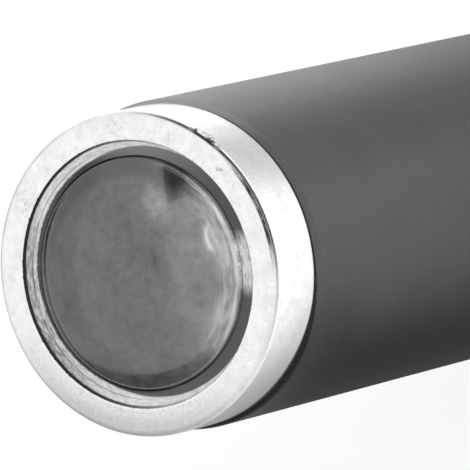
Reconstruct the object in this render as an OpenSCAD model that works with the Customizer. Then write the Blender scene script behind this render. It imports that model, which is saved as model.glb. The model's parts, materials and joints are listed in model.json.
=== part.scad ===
// Mini flashlight with a telescoping focus head, standing on its flat tail.
// The axis is Z, the tail rim lies on z = 0 and the lens looks up.

/* [Cell] */
// Diameter of the wrapped cell
cell_d = 14.2; // [13:0.1:15]
// Length of the cell without its positive cap
cell_len = 49.5; // [47:0.5:54]
// Thickness of the printed film around the cell
wrap_t = 0.15; // [0.1:0.01:0.25]
// Diameter of the positive cap
nub_d = 5.5; // [4:0.1:7]
// Height of the positive cap
nub_h = 1; // [0.6:0.1:1.6]
// Thickness of the insulating washer round the positive cap
cell_washer_t = 0.3; // [0.2:0.05:0.5]
// Brim of the positive cap
nub_brim = 0.4; // [0.2:0.1:0.8]

/* [Tube and sleeve] */
// Radial play between cell and tube
cell_play = 0.35; // [0.2:0.05:0.6]
// Wall of the tube where the head slides
barrel_wall = 1.55; // [1.3:0.05:2.2]
// Radial running fit of the sliding head
slide_fit = 0.1; // [0.05:0.01:0.1]
// How far the stop collar stands out beyond the tube
collar_step = 0.4; // [0.3:0.05:0.7]
// Length of the sleeve behind the bezel
sleeve_len = 45.15; // [44:0.05:52]
// Wall of the sleeve beside the bezel's thread
front_wall = 0.75; // [0.6:0.05:1.5]
// Gap between sleeve and tube shoulder when the head is pushed in
zoom_seam = 0.3; // [0.2:0.05:0.5]
// Travel of the head from wide beam to narrow beam
zoom_travel = 8; // [5:0.5:10]
// Axial gap left at the end of the travel
stop_clear = 0.3; // [0.2:0.05:0.5]
// Chamfer of the sleeve's front edge, measured along the axis
sleeve_lead = 0.5; // [0.3:0.05:0.8]
// Chamfer of the outer edges at the seams
seam_chamfer = 0.2; // [0.1:0.05:0.4]

/* [Bezel ring] */
// Visible length of the bezel ring
bezel_band = 4.7; // [3.5:0.1:6]
// How far the bezel ring lies inside the sleeve's outer surface
bezel_setback = 0.25; // [0.05:0.05:0.4]
// Gap between bezel ring and sleeve
bezel_gap = 0.15; // [0.1:0.05:0.3]
// Radius of the rounded front edge
bezel_round = 0.45; // [0.2:0.05:0.8]
// Depth from the face to the lens flange
bezel_lip = 1.4; // [1:0.1:2]
// How much the mouth widens towards the face, on the radius
mouth_flare = 0.92; // [0.3:0.01:1.2]
// Depth over which the mouth widens
mouth_cone_h = 0.92; // [0.3:0.01:1.2]
// Length of the threaded skirt behind the visible band
skirt_len = 4; // [3.2:0.1:5]
// Wall of the skirt round the lens flange
skirt_wall = 0.9; // [0.8:0.05:1.4]
// Least step between the skirt and the sleeve's bore, which seats the skirt
skirt_seat = 0.7; // [0.5:0.05:1]
// Thickness of the sealing ring on the skirt
skirt_seal_t = 0.45; // [0.3:0.05:0.5]

/* [Lens] */
// Diameter of the lens where it shows
lens_d = 15.8; // [14:0.1:17]
// Width of the gap between lens and bezel
groove_w = 0.1; // [0.05:0.01:0.5]
// Least reach of the flange under the bezel's lip
flange_grip = 0.71; // [0.4:0.01:1]
// Thickness of the flange
flange_t = 1.2; // [0.8:0.1:1.6]
// Depth from the bezel's face to the lens rim
rim_depth = 0.15; // [0:0.05:0.4]
// Flat shoulder between the lens rim and the dome
shoulder_w = 0.9; // [0.4:0.1:1.5]
// Height of the dome over the lens rim
dome_h = 1.6; // [1:0.1:3]
// Thickness of the soft seal under the flange
lens_seal_t = 1; // [0.6:0.1:1.6]
// Length of the ring nut that holds the lens
lens_nut_len = 1.5; // [1:0.1:2]
// How far the back of the lens reaches behind its flange
lens_tail = 0.8; // [0.4:0.1:1]

/* [Light engine] */
// Gap between the back of the lens and the emitter board
focus_gap = 2.7; // [2.5:0.1:4]
// Thickness of the emitter board
led_board_t = 1.6; // [1:0.1:2]
// Diameter of the emitter board
led_board_d = 15.2; // [14.6:0.1:15.6]
// Height of the rim round the emitter board
board_rim_h = 1.8; // [1.6:0.1:2.4]
// Wall of that rim
board_rim_wall = 1.15; // [0.8:0.05:1.4]
// Side of the square emitter
emitter_w = 3.45; // [3:0.05:5]
// Height of the emitter's base
emitter_h = 0.8; // [0.5:0.1:1.2]
// Radius of the emitter's clear dome
emitter_dome_r = 1.35; // [1:0.05:1.6]
// Outer diameter of the centring ring round the emitter
centring_d = 8.4; // [7.6:0.1:9]
// Height of the centring ring
centring_h = 0.9; // [0.6:0.1:1.2]
// Length of the stop collar
collar_len = 6; // [5:0.1:8]
// Thickness of the sealing rings of the sliding head
zoom_seal_t = 0.86; // [0.6:0.02:1]
// Number of sealing rings of the sliding head
zoom_seals = 2; // [1:1:2]
// Axial gap between the stop collar and the bezel's skirt
collar_clear = 0.5; // [0.3:0.1:1]
// Thickness of solid metal between emitter board and driver
heat_web = 6.3; // [4:0.1:7]
// Room above the driver board
driver_room = 5.6; // [5:0.1:8]
// Thickness of the driver board
driver_t = 1; // [0.8:0.1:1.6]
// Wall of the light engine round the driver board
driver_wall = 0.95; // [0.8:0.05:1.2]
// Ledge that seats the driver board
driver_ledge = 0.5; // [0.3:0.05:0.8]
// How far the light engine's thread reaches behind the driver board
engine_skirt = 1; // [0.5:0.1:2]
// Diameter of the lead wires
wire_d = 0.9; // [0.7:0.05:1]
// Diameter of the screw shanks
screw_d = 1.6; // [1.2:0.1:1.8]
// Length of the screw shanks
screw_len = 4; // [3:0.5:5]
// Diameter of the screw heads
screw_head_d = 2.6; // [2.2:0.1:2.8]
// Height of the screw heads
screw_head_h = 0.8; // [0.5:0.1:1]

/* [Springs] */
// Length of the front contact spring in place
front_spring_len = 6.5; // [6:0.1:9]
// Curls of the front contact spring
front_spring_curls = 5; // [3:1:5]
// Mean radius of the front contact spring
front_spring_r = 2.2; // [1.8:0.1:3]
// Wire of the front contact spring
front_spring_wire = 0.6; // [0.4:0.05:0.7]
// Length of the tail spring in place
tail_spring_len = 7; // [6.6:0.1:9]
// Curls of the tail spring
tail_spring_curls = 5; // [3:1:5]
// Mean radius of the tail spring at the board
tail_spring_r = 4; // [3.5:0.1:4.4]
// Mean radius of the tail spring at the cell
tail_spring_tip_r = 2.6; // [2:0.1:3.4]
// Wire of the tail spring
tail_spring_wire = 0.7; // [0.5:0.05:0.8]
// Wire of the switch spring
switch_spring_wire = 0.25; // [0.2:0.01:0.3]
// Curls of the switch spring
switch_spring_curls = 3; // [2:1:3]

/* [Tail cap] */
// Visible length of the tail cap
cap_len = 14; // [12:0.5:18]
// Depth of the recess that protects the button
recess_depth = 1.6; // [1.2:0.1:2.4]
// Width of the recess round the button's hole
recess_w = 1.3; // [0.8:0.1:2]
// Thickness of the web that holds the button boot
web_t = 2; // [1.5:0.1:3]
// Axial gap between the end of the cap's threaded spigot and the cell
spigot_gap = 0.4; // [0.3:0.1:1]
// Wall of the spigot
spigot_wall = 1.8; // [1.7:0.05:2.2]
// Gap between the cap and the tube
cap_seam = 0.2; // [0.1:0.05:0.4]
// Chamfer of the rim that the light stands on
rim_chamfer = 0.8; // [0.3:0.1:1.2]
// Grip grooves turned into the cap
grip_grooves = 4; // [0:1:5]
// Distance between grip grooves
grip_pitch = 2; // [1.6:0.1:2.2]
// Width of a grip groove
grip_w = 0.8; // [0.4:0.1:1.2]
// Depth of a grip groove
grip_depth = 0.3; // [0.1:0.05:0.5]
// Thickness of the tail's sealing ring
tail_seal_t = 0.96; // [0.7:0.02:1]

/* [Button and switch] */
// Diameter of the button boot
boot_d = 10; // [8:0.1:10.6]
// Wall of the button boot
boot_wall = 0.8; // [0.6:0.05:1]
// Thickness of the boot's flange
boot_flange_t = 1; // [0.8:0.1:1.4]
// How far the boot's crown lies below the rim
boot_shy = 0.7; // [0.3:0.1:1.2]
// Travel of the button
press_travel = 1.6; // [1:0.1:2]
// Thickness of the washer under the boot
washer_t = 0.8; // [0.5:0.1:1]
// Length of the spacer round the switch
spacer_len = 7; // [7:0.1:9]
// Wall of the spacer
spacer_wall = 1.1; // [0.8:0.05:1.4]
// Side of the square switch body
switch_w = 8.4; // [7.5:0.1:8.8]
// Height of the switch body
switch_h = 5.5; // [5:0.1:5.5]
// Diameter of the plunger's stem
stem_d = 3.2; // [2.8:0.1:3.6]
// How far the stem reaches into the switch body
stem_reach = 2.1; // [1.8:0.1:2.4]
// Floor of the switch body
switch_floor = 0.5; // [0.4:0.1:1]
// Thickness of the tail board
tail_board_t = 1; // [0.8:0.1:1.6]
// Length of the ring nut that holds the switch
tail_nut_len = 2.5; // [2:0.1:3.5]
// Wall of that ring nut
tail_nut_wall = 1.75; // [1.2:0.05:2]
// Distance of the switch pins from the axis
pin_at = 2.4; // [2:0.1:2.8]
// Width of a switch pin
pin_w = 0.8; // [0.6:0.1:1]
// Thickness of a switch pin
pin_t = 0.4; // [0.3:0.05:0.5]

/* [Fits and threads] */
// Radial clearance of pieces that are screwed or set into each other
seat_fit = 0.05; // [0.02:0.01:0.1]
// Clearance between a soft or loose piece and what moves past it
air = 0.3; // [0.2:0.05:0.3]
// Pitch of the threads
thread_pitch = 0.8; // [0.6:0.05:1]
// Depth of the thread grooves
thread_depth = 0.25; // [0.15:0.05:0.35]

/* [Hidden] */
$fn = 96;
overcut = 1;

// Radii, from the cell outwards
cell_r = cell_d / 2;
bore_r = cell_r + cell_play;
barrel_r = bore_r + barrel_wall;
rail_r = barrel_r + slide_fit;
collar_r = barrel_r + collar_step;
chamber_r = collar_r + slide_fit;
lens_r = lens_d / 2;
throat_r = lens_r + groove_w;
mouth_r = throat_r + mouth_flare;
skirt_r = max(throat_r + flange_grip + 2 * seat_fit + skirt_wall, chamber_r + skirt_seat);
pocket_r = skirt_r - skirt_wall;
flange_r = pocket_r - 2 * seat_fit;
socket_r = skirt_r + seat_fit;
body_r = socket_r + front_wall;
bezel_r = body_r - bezel_setback;
engine_thread_r = bore_r + driver_wall / 2 + seat_fit / 2;
driver_r = engine_thread_r - driver_wall - seat_fit;
engine_bore_r = driver_r + seat_fit;
cavity_r = engine_bore_r - driver_ledge;
board_r = led_board_d / 2;
nose_r = board_r + seat_fit + board_rim_wall;
wire_at = cavity_r - wire_d / 2 - air;
screw_at = board_r - screw_head_d / 2 - air;
switch_corner_r = switch_w / sqrt(2);
spacer_in_r = switch_corner_r + air;
spacer_r = spacer_in_r + spacer_wall;
cap_bore_r = spacer_r + seat_fit;
spigot_r = cap_bore_r + spigot_wall;
tail_socket_r = spigot_r + seat_fit;
boot_r = boot_d / 2;
button_hole_r = boot_r + 4 * seat_fit;
recess_r = button_hole_r + recess_w;
boot_flange_r = cap_bore_r - 4 * seat_fit;
plunger_r = boot_r - boot_wall - air;
stem_r = stem_d / 2;

// Heights, from the tail rim upwards
web_z = recess_depth;
flange_z = web_z + web_t;
washer_z = flange_z + boot_flange_t;
spacer_z = washer_z + washer_t;
tail_board_z = spacer_z + spacer_len;
tail_nut_z = tail_board_z + tail_board_t;
cell_z = tail_nut_z + tail_spring_len;
nub_z = cell_z + cell_len;
front_spring_z = nub_z + nub_h;
driver_z = front_spring_z + front_spring_len;
ledge_z = driver_z + driver_t;
heat_web_z = ledge_z + driver_room;
led_board_z = heat_web_z + heat_web;
led_face_z = led_board_z + led_board_t;
lens_back_z = led_face_z + focus_gap;
flange_back_z = lens_back_z + lens_tail;
flange_front_z = flange_back_z + flange_t;
face_z = flange_front_z + bezel_lip;
rim_z = face_z - rim_depth;
lens_nut_z = flange_back_z - lens_seal_t - lens_nut_len;
band_z = face_z - bezel_band;
skirt_z = band_z - skirt_len;
sleeve_top_z = band_z - bezel_gap;
sleeve_z = sleeve_top_z - sleeve_len;
shoulder_z = sleeve_z - zoom_seam;
collar_top_z = skirt_z - collar_clear;
collar_z = collar_top_z - collar_len;
stop_z = collar_z - zoom_travel - stop_clear;
nose_top_z = led_board_z + board_rim_h;
engine_z = driver_z - engine_skirt;
tube_z = cap_len + cap_seam;
spigot_top_z = cell_z - spigot_gap;
tail_socket_z = spigot_top_z + cap_seam;
switch_z = tail_board_z - switch_h;
switch_bore_z = tail_board_z - switch_floor;
crown_z = boot_shy;
plunger_z = crown_z + boot_wall + air;
plunger_top_z = switch_z - press_travel - air;
stem_top_z = switch_z + stem_reach;

// Seals: section, centre and groove of each round ring
tail_seal_r = tail_seal_t / 2;
tail_seal_ring_r = tail_socket_r - seat_fit - tail_seal_r;
tail_groove_r = tail_seal_ring_r - tail_seal_r - seat_fit;
tail_groove_w = tail_seal_t + 2 * seat_fit;
tail_seal_z = cap_len + seam_chamfer + tail_groove_w / 2;
zoom_seal_r = zoom_seal_t / 2;
zoom_seal_ring_r = chamber_r - slide_fit / 2 - zoom_seal_r;
zoom_groove_r = zoom_seal_ring_r - zoom_seal_r - seat_fit / 2;
zoom_groove_w = zoom_seal_t + 2 * seat_fit;
zoom_seal_step = collar_len / zoom_seals;
skirt_seal_r = skirt_seal_t / 2;
skirt_seal_z = band_z - skirt_seal_t;
skirt_seal_ring_r = skirt_r - skirt_seal_r;
skirt_groove_r = skirt_r - skirt_seal_t - seat_fit;
skirt_groove_w = skirt_seal_t + 2 * seat_fit;

// Shared shapes

// A plain tube between two heights
module tube(r_out, r_in, z_low, z_high) {
  translate([0, 0, z_low])
    difference() {
      cylinder(r = r_out, h = z_high - z_low);
      translate([0, 0, -overcut]) cylinder(r = r_in, h = z_high - z_low + 2 * overcut);
    }
}

// A plain disc between two heights
module disc(r, z_low, z_high) {
  translate([0, 0, z_low]) cylinder(r = r, h = z_high - z_low);
}

// A round sealing ring
module seal_ring(ring_r, wire_r, z) {
  translate([0, 0, z])
    rotate_extrude() translate([ring_r, 0]) circle(r = wire_r, $fn = 32);
}

// Cutter for a turned groove with a flat floor
module turned_groove(floor_r, outside_r, z, width) {
  tube(outside_r, floor_r, z - width / 2, z + width / 2);
}

// Cutters for the grooves of an outside thread, drawn as separate rings
module thread_rings(major_r, z_low, z_high) {
  turns = floor((z_high - z_low) / thread_pitch);
  for (i = [0 : turns - 1])
    translate([0, 0, z_low + (i + 0.5) * thread_pitch])
      rotate_extrude()
        polygon([
          [major_r - thread_depth, 0],
          [major_r + overcut / 10, -thread_pitch / 2],
          [major_r + overcut / 10, thread_pitch / 2]
        ]);
}

// Two notches for a pin wrench across the top of a ring nut
module wrench_notches(reach, z_top, depth, width) {
  translate([-reach, -width / 2, z_top - depth]) cube([2 * reach, width, depth + overcut]);
}

// Springs: each is one tube along a helix that starts and ends flat
spring_rings = 8;
spring_sides = 6;
flat_curls = 0.1;
function curl_rise(u, curls) =
  min(1, max(0, (u * curls - flat_curls) / (curls - 2 * flat_curls)));
function spring_point(u, r_low, r_high, z_low, z_high, curls) =
  let (s = curl_rise(u, curls), r = r_low + (r_high - r_low) * s, a = 360 * curls * u)
  [r * cos(a), r * sin(a), z_low + (z_high - z_low) * s];
function spring_path(r_low, r_high, z_low, z_high, curls) =
  [for (i = [0 : curls * spring_rings])
    spring_point(i / (curls * spring_rings), r_low, r_high, z_low, z_high, curls)];
function ring_points(p, wire_r) =
  let (out = [p[0], p[1], 0] / norm([p[0], p[1]]))
  [for (k = [0 : spring_sides - 1])
    p + wire_r * (cos(360 * k / spring_sides) * out + [0, 0, sin(360 * k / spring_sides)])];
// Least distance between points at least half a curl apart, less the wire
function spring_gap(path, wire) =
  min([for (i = [0 : len(path) - 1], j = [i + spring_rings / 2 : len(path) - 1])
    if (j < len(path)) norm(path[i] - path[j])]) - wire;

module spring(path, wire) {
  n = len(path);
  m = spring_sides;
  points = [for (p = path) each ring_points(p, wire / 2)];
  sides = [for (i = [0 : n - 2], k = [0 : m - 1])
    let (a = i * m + k, b = i * m + (k + 1) % m)
    each [[a, b + m, b], [a, a + m, b + m]]];
  first = [for (k = [1 : m - 2]) [0, k, k + 1]];
  last = [for (k = [1 : m - 2]) [(n - 1) * m, (n - 1) * m + k + 1, (n - 1) * m + k]];
  polyhedron(points = points, faces = concat(sides, first, last), convexity = 4);
}

front_path = spring_path(front_spring_r, front_spring_r,
  front_spring_z + front_spring_wire / 2, driver_z - front_spring_wire / 2, front_spring_curls);
tail_path = spring_path(tail_spring_r, tail_spring_tip_r,
  tail_nut_z + tail_spring_wire / 2, cell_z - tail_spring_wire / 2, tail_spring_curls);
switch_spring_r = stem_r - switch_spring_wire;
switch_path = spring_path(switch_spring_r, switch_spring_r,
  stem_top_z + switch_spring_wire / 2, switch_bore_z - switch_spring_wire / 2,
  switch_spring_curls);
echo(front_spring_gap = spring_gap(front_path, front_spring_wire));
echo(tail_spring_gap = spring_gap(tail_path, tail_spring_wire));
echo(switch_spring_gap = spring_gap(switch_path, switch_spring_wire));

// Head: what slides forward to narrow the beam

module bezel_ring() {
  color("gainsboro")
    difference() {
      rotate_extrude() {
        difference() {
          union() {
            translate([pocket_r, skirt_z]) square([skirt_r - pocket_r, skirt_len]);
            translate([pocket_r, band_z]) square([bezel_r - pocket_r, flange_front_z - band_z]);
            polygon([
              [throat_r, flange_front_z],
              [bezel_r, flange_front_z],
              [bezel_r, face_z],
              [mouth_r, face_z],
              [throat_r, face_z - mouth_cone_h]
            ]);
          }
          translate([bezel_r - bezel_round, face_z - bezel_round])
            difference() {
              square(bezel_round + overcut);
              circle(r = bezel_round);
            }
          polygon([
            [bezel_r - seam_chamfer, band_z],
            [bezel_r + overcut, band_z - overcut],
            [bezel_r + overcut, band_z + seam_chamfer],
            [bezel_r, band_z + seam_chamfer]
          ]);
        }
      }
      turned_groove(skirt_groove_r, skirt_r + overcut, skirt_seal_z, skirt_groove_w);
      thread_rings(skirt_r, skirt_z, skirt_seal_z - skirt_seal_t);
    }
}

module lens() {
  dome_base_r = lens_r - shoulder_w;
  dome_sphere_r = (dome_base_r * dome_base_r + dome_h * dome_h) / (2 * dome_h);
  color("slategray", 0.6)
    union() {
      disc(lens_r, lens_back_z, rim_z);
      disc(flange_r, flange_back_z, flange_front_z);
      intersection() {
        translate([0, 0, rim_z + dome_h - dome_sphere_r]) sphere(r = dome_sphere_r, $fn = 128);
        disc(dome_base_r, rim_z - rim_depth, rim_z + 2 * dome_h);
      }
    }
}

module lens_seal() {
  seal_in_r = lens_r + 2 * seat_fit;
  color("dimgray")
    tube(flange_r, seal_in_r, flange_back_z - lens_seal_t, flange_back_z);
}

module lens_retaining_ring() {
  color("black")
    difference() {
      tube(pocket_r - seat_fit, lens_r + 4 * seat_fit, lens_nut_z, lens_nut_z + lens_nut_len);
      translate([0, 0, 2 * lens_nut_z])
        mirror([0, 0, 1])
          wrench_notches(pocket_r + overcut, lens_nut_z, lens_nut_len / 2, 2 * thread_pitch);
    }
}

module bezel_oring() {
  color("black")
    seal_ring(skirt_seal_ring_r, skirt_seal_r, skirt_seal_z);
}

module head_sleeve() {
  lead_in = sleeve_lead * 0.7;
  color("dimgray")
    difference() {
      rotate_extrude()
        polygon([
          [0, sleeve_z],
          [body_r - seam_chamfer, sleeve_z],
          [body_r, sleeve_z + seam_chamfer],
          [body_r, sleeve_top_z - sleeve_lead],
          [body_r - lead_in, sleeve_top_z],
          [0, sleeve_top_z]
        ]);
      disc(rail_r, sleeve_z - overcut, sleeve_top_z + overcut);
      disc(chamber_r, stop_z, sleeve_top_z + overcut);
      disc(socket_r, skirt_z, sleeve_top_z + overcut);
    }
}

// Body: the tube, the light engine and the cell

module body_tube() {
  color("dimgray")
    difference() {
      rotate_extrude()
        polygon([
          [0, tube_z],
          [body_r - seam_chamfer, tube_z],
          [body_r, tube_z + seam_chamfer],
          [body_r, shoulder_z - seam_chamfer],
          [body_r - seam_chamfer, shoulder_z],
          [barrel_r, shoulder_z],
          [barrel_r, collar_z],
          [0, collar_z]
        ]);
      disc(bore_r, tube_z - overcut, collar_z + overcut);
      disc(tail_socket_r, tube_z - overcut, tail_socket_z);
      disc(engine_thread_r + seat_fit, engine_z - seam_chamfer, collar_z + overcut);
    }
}

module light_engine() {
  wire_hole_r = wire_d / 2 + 2 * seat_fit;
  color("silver")
    difference() {
      union() {
        disc(engine_thread_r, engine_z, collar_z);
        disc(collar_r, collar_z, collar_top_z);
        disc(nose_r, collar_top_z, nose_top_z);
      }
      thread_rings(engine_thread_r, engine_z, collar_z - thread_pitch / 2);
      disc(engine_bore_r, engine_z - overcut, ledge_z);
      disc(cavity_r, ledge_z - overcut, heat_web_z);
      disc(board_r + seat_fit, led_board_z, nose_top_z + overcut);
      for (side = [-1, 1])
        translate([0, side * wire_at, heat_web_z - overcut])
          cylinder(r = wire_hole_r, h = heat_web + 2 * overcut);
      for (side = [-1, 1])
        translate([side * screw_at, 0, led_face_z - screw_len - seam_chamfer])
          cylinder(d = screw_d + 2 * seat_fit, h = screw_len + overcut);
      for (i = [0 : zoom_seals - 1])
        turned_groove(zoom_groove_r, collar_r + overcut,
          collar_z + (i + 0.5) * zoom_seal_step, zoom_groove_w);
    }
}

module zoom_orings() {
  color("black")
    for (i = [0 : zoom_seals - 1])
      seal_ring(zoom_seal_ring_r, zoom_seal_r, collar_z + (i + 0.5) * zoom_seal_step);
}

module led_board() {
  notch_r = wire_d / 2 + 2 * seat_fit;
  color("whitesmoke")
    difference() {
      disc(board_r, led_board_z, led_face_z);
      for (side = [-1, 1])
        translate([0, side * wire_at, led_board_z - overcut])
          cylinder(r = notch_r, h = led_board_t + 2 * overcut);
      for (side = [-1, 1])
        translate([side * screw_at, 0, led_board_z - overcut])
          cylinder(d = screw_d + 2 * seat_fit, h = led_board_t + 2 * overcut);
    }
}

module led_board_screws() {
  color("silver")
    for (side = [-1, 1])
      translate([side * screw_at, 0, 0])
        difference() {
          union() {
            disc(screw_d / 2, led_face_z - screw_len, led_face_z);
            disc(screw_head_d / 2, led_face_z, led_face_z + screw_head_h);
          }
          for (turn = [0, 90])
            rotate([0, 0, turn])
              translate([-screw_d / 2, -screw_d / 8, led_face_z + screw_head_h / 2])
                cube([screw_d, screw_d / 4, screw_head_h]);
        }
}

module led_emitter() {
  color("lightyellow")
    union() {
      translate([-emitter_w / 2, -emitter_w / 2, led_face_z])
        cube([emitter_w, emitter_w, emitter_h]);
      intersection() {
        translate([0, 0, led_face_z + emitter_h]) sphere(r = emitter_dome_r);
        disc(emitter_dome_r + overcut, led_face_z, led_face_z + emitter_h + 2 * emitter_dome_r);
      }
    }
}

module led_centring_ring() {
  opening = emitter_w + 2 * seat_fit;
  color("white")
    difference() {
      disc(centring_d / 2, led_face_z, led_face_z + centring_h);
      translate([-opening / 2, -opening / 2, led_face_z - overcut])
        cube([opening, opening, centring_h + 2 * overcut]);
    }
}

module led_wires() {
  pad_at = centring_d / 2 + seat_fit + wire_d / 2;
  bend_z = led_face_z + wire_d / 2;
  for (side = [-1, 1])
    color(side > 0 ? "crimson" : "black")
      union() {
        translate([0, side * wire_at, 0]) disc(wire_d / 2, ledge_z, bend_z);
        translate([0, side * wire_at, bend_z]) sphere(d = wire_d, $fn = 32);
        translate([0, side * wire_at, bend_z])
          rotate([side * 90, 0, 0])
            cylinder(d = wire_d, h = wire_at - pad_at);
      }
}

module driver_board() {
  color("darkgreen")
    disc(driver_r, driver_z, ledge_z);
}

chip_size = [3.9, 4.9, 1.5];
chip_leg = [0.6, 0.4, 0.3];
chip_legs = 4;
chip_leg_pitch = 1.27;
module driver_chip() {
  color("black")
    translate([-driver_r / 2, 0, ledge_z])
      union() {
        translate([-chip_size[0] / 2, -chip_size[1] / 2, 0]) cube(chip_size);
        for (side = [-1, 1], i = [0 : chip_legs - 1])
          translate([
            side * (chip_size[0] + chip_leg[0]) / 2 - chip_leg[0] / 2,
            (i - (chip_legs - 1) / 2) * chip_leg_pitch - chip_leg[1] / 2,
            0
          ])
            cube(chip_leg);
      }
}

inductor_d = 4;
inductor_h = 3.2;
inductor_waist = 0.5;
inductor_flange = 0.6;
module driver_inductor() {
  color("dimgray")
    translate([driver_r / 2 - inductor_waist, 0, ledge_z])
      union() {
        cylinder(d = inductor_d, h = inductor_flange);
        cylinder(d = inductor_d - 2 * inductor_waist, h = inductor_h);
        translate([0, 0, inductor_h - inductor_flange])
          cylinder(d = inductor_d, h = inductor_flange);
      }
}

capacitor_size = [2, 1.25, 1.2];
module driver_capacitors() {
  color("burlywood")
    for (side = [-1, 1])
      translate([
        -capacitor_size[0] / 2,
        side * driver_r / 2 - capacitor_size[1] / 2,
        ledge_z
      ])
        cube(capacitor_size);
}

module front_contact_spring() {
  color("goldenrod")
    spring(front_path, front_spring_wire);
}

module battery_cell() {
  color("silver")
    disc(cell_r - wrap_t - seat_fit / 2, cell_z, nub_z);
}

module battery_wrap() {
  color("steelblue")
    tube(cell_r, cell_r - wrap_t, cell_z, nub_z);
}

module battery_positive_cap() {
  color("gold")
    union() {
      disc(nub_d / 2, nub_z, front_spring_z);
      disc(nub_d / 2 + nub_brim, nub_z, nub_z + cell_washer_t);
    }
}

module battery_washer() {
  washer_in_r = nub_d / 2 + nub_brim + 2 * seat_fit;
  color("white")
    tube(cell_r - 2 * wrap_t, washer_in_r, nub_z, nub_z + cell_washer_t);
}

// Tail: the cap that unscrews, with the button and the switch

module tail_oring() {
  color("black")
    seal_ring(tail_seal_ring_r, tail_seal_r, tail_seal_z);
}

module tail_cap() {
  color("dimgray")
    difference() {
      rotate_extrude()
        polygon([
          [0, 0],
          [body_r - rim_chamfer, 0],
          [body_r, rim_chamfer],
          [body_r, cap_len - seam_chamfer],
          [body_r - seam_chamfer, cap_len],
          [spigot_r, cap_len],
          [spigot_r, spigot_top_z],
          [0, spigot_top_z]
        ]);
      disc(recess_r, -overcut, web_z);
      disc(button_hole_r, -overcut, spigot_top_z + overcut);
      disc(cap_bore_r, flange_z, spigot_top_z + overcut);
      turned_groove(tail_groove_r, spigot_r + overcut, tail_seal_z, tail_groove_w);
      thread_rings(spigot_r, tail_seal_z + tail_groove_w, spigot_top_z);
      if (grip_grooves > 0)
        for (i = [0 : grip_grooves - 1])
          turned_groove(body_r - grip_depth, body_r + overcut,
            cap_len / 2 + (i - (grip_grooves - 1) / 2) * grip_pitch, grip_w);
    }
}

module button_boot() {
  crown_round = boot_wall;
  color("black")
    rotate_extrude()
      difference() {
        union() {
          translate([0, crown_z + crown_round]) square([boot_r, washer_z - crown_z - crown_round]);
          translate([0, crown_z]) square([boot_r - crown_round, washer_z - crown_z]);
          translate([boot_r - crown_round, crown_z + crown_round])
            circle(r = crown_round, $fn = 48);
          translate([0, flange_z]) square([boot_flange_r, boot_flange_t]);
        }
        translate([-overcut, crown_z - overcut]) square([overcut, washer_z + overcut]);
        translate([-overcut, crown_z + boot_wall])
          square([boot_r - boot_wall + overcut, washer_z]);
      }
}

module boot_washer() {
  color("silver")
    tube(boot_flange_r, boot_r - boot_wall, washer_z, spacer_z);
}

module switch_spacer() {
  color("ivory")
    tube(spacer_r, spacer_in_r, spacer_z, tail_board_z);
}

module switch_body() {
  color("black")
    difference() {
      translate([-switch_w / 2, -switch_w / 2, switch_z]) cube([switch_w, switch_w, switch_h]);
      disc(stem_r + slide_fit, switch_z - overcut, switch_bore_z);
    }
}

module switch_plunger() {
  color("ivory")
    union() {
      disc(plunger_r, plunger_z, plunger_top_z);
      disc(stem_r, plunger_z, stem_top_z);
    }
}

module switch_spring() {
  color("silver")
    spring(switch_path, switch_spring_wire);
}

module switch_pins() {
  pin_out = tail_board_t / 2;
  color("goldenrod")
    for (side = [-1, 1])
      translate([side * pin_at - pin_t / 2, -pin_w / 2, tail_board_z])
        cube([pin_t, pin_w, tail_board_t + pin_out]);
}

module switch_board() {
  slot_t = pin_t + 2 * seat_fit;
  slot_w = pin_w + 2 * seat_fit;
  color("darkgreen")
    difference() {
      disc(spacer_r, tail_board_z, tail_nut_z);
      for (side = [-1, 1])
        translate([side * pin_at - slot_t / 2, -slot_w / 2, tail_board_z - overcut])
          cube([slot_t, slot_w, tail_board_t + 2 * overcut]);
    }
}

module switch_retaining_ring() {
  color("goldenrod")
    difference() {
      tube(spacer_r, spacer_r - tail_nut_wall, tail_nut_z, tail_nut_z + tail_nut_len);
      wrench_notches(spacer_r + overcut, tail_nut_z + tail_nut_len, tail_nut_len / 2,
        2 * thread_pitch);
    }
}

module tail_spring() {
  color("goldenrod")
    spring(tail_path, tail_spring_wire);
}

bezel_ring();
lens();
lens_seal();
lens_retaining_ring();
bezel_oring();
head_sleeve();
body_tube();
light_engine();
zoom_orings();
led_board();
led_board_screws();
led_emitter();
led_centring_ring();
led_wires();
driver_board();
driver_chip();
driver_inductor();
driver_capacitors();
front_contact_spring();
battery_cell();
battery_wrap();
battery_positive_cap();
battery_washer();
tail_oring();
tail_cap();
button_boot();
boot_washer();
switch_spacer();
switch_body();
switch_plunger();
switch_spring();
switch_pins();
switch_board();
switch_retaining_ring();
tail_spring();
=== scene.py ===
"""Pocket flashlight with a bright bezel ring, standing on its tail with its axis on Z and the lens up."""

import json
import math
from types import SimpleNamespace

import bmesh
import bpy
from mathutils import Matrix, Vector


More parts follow.
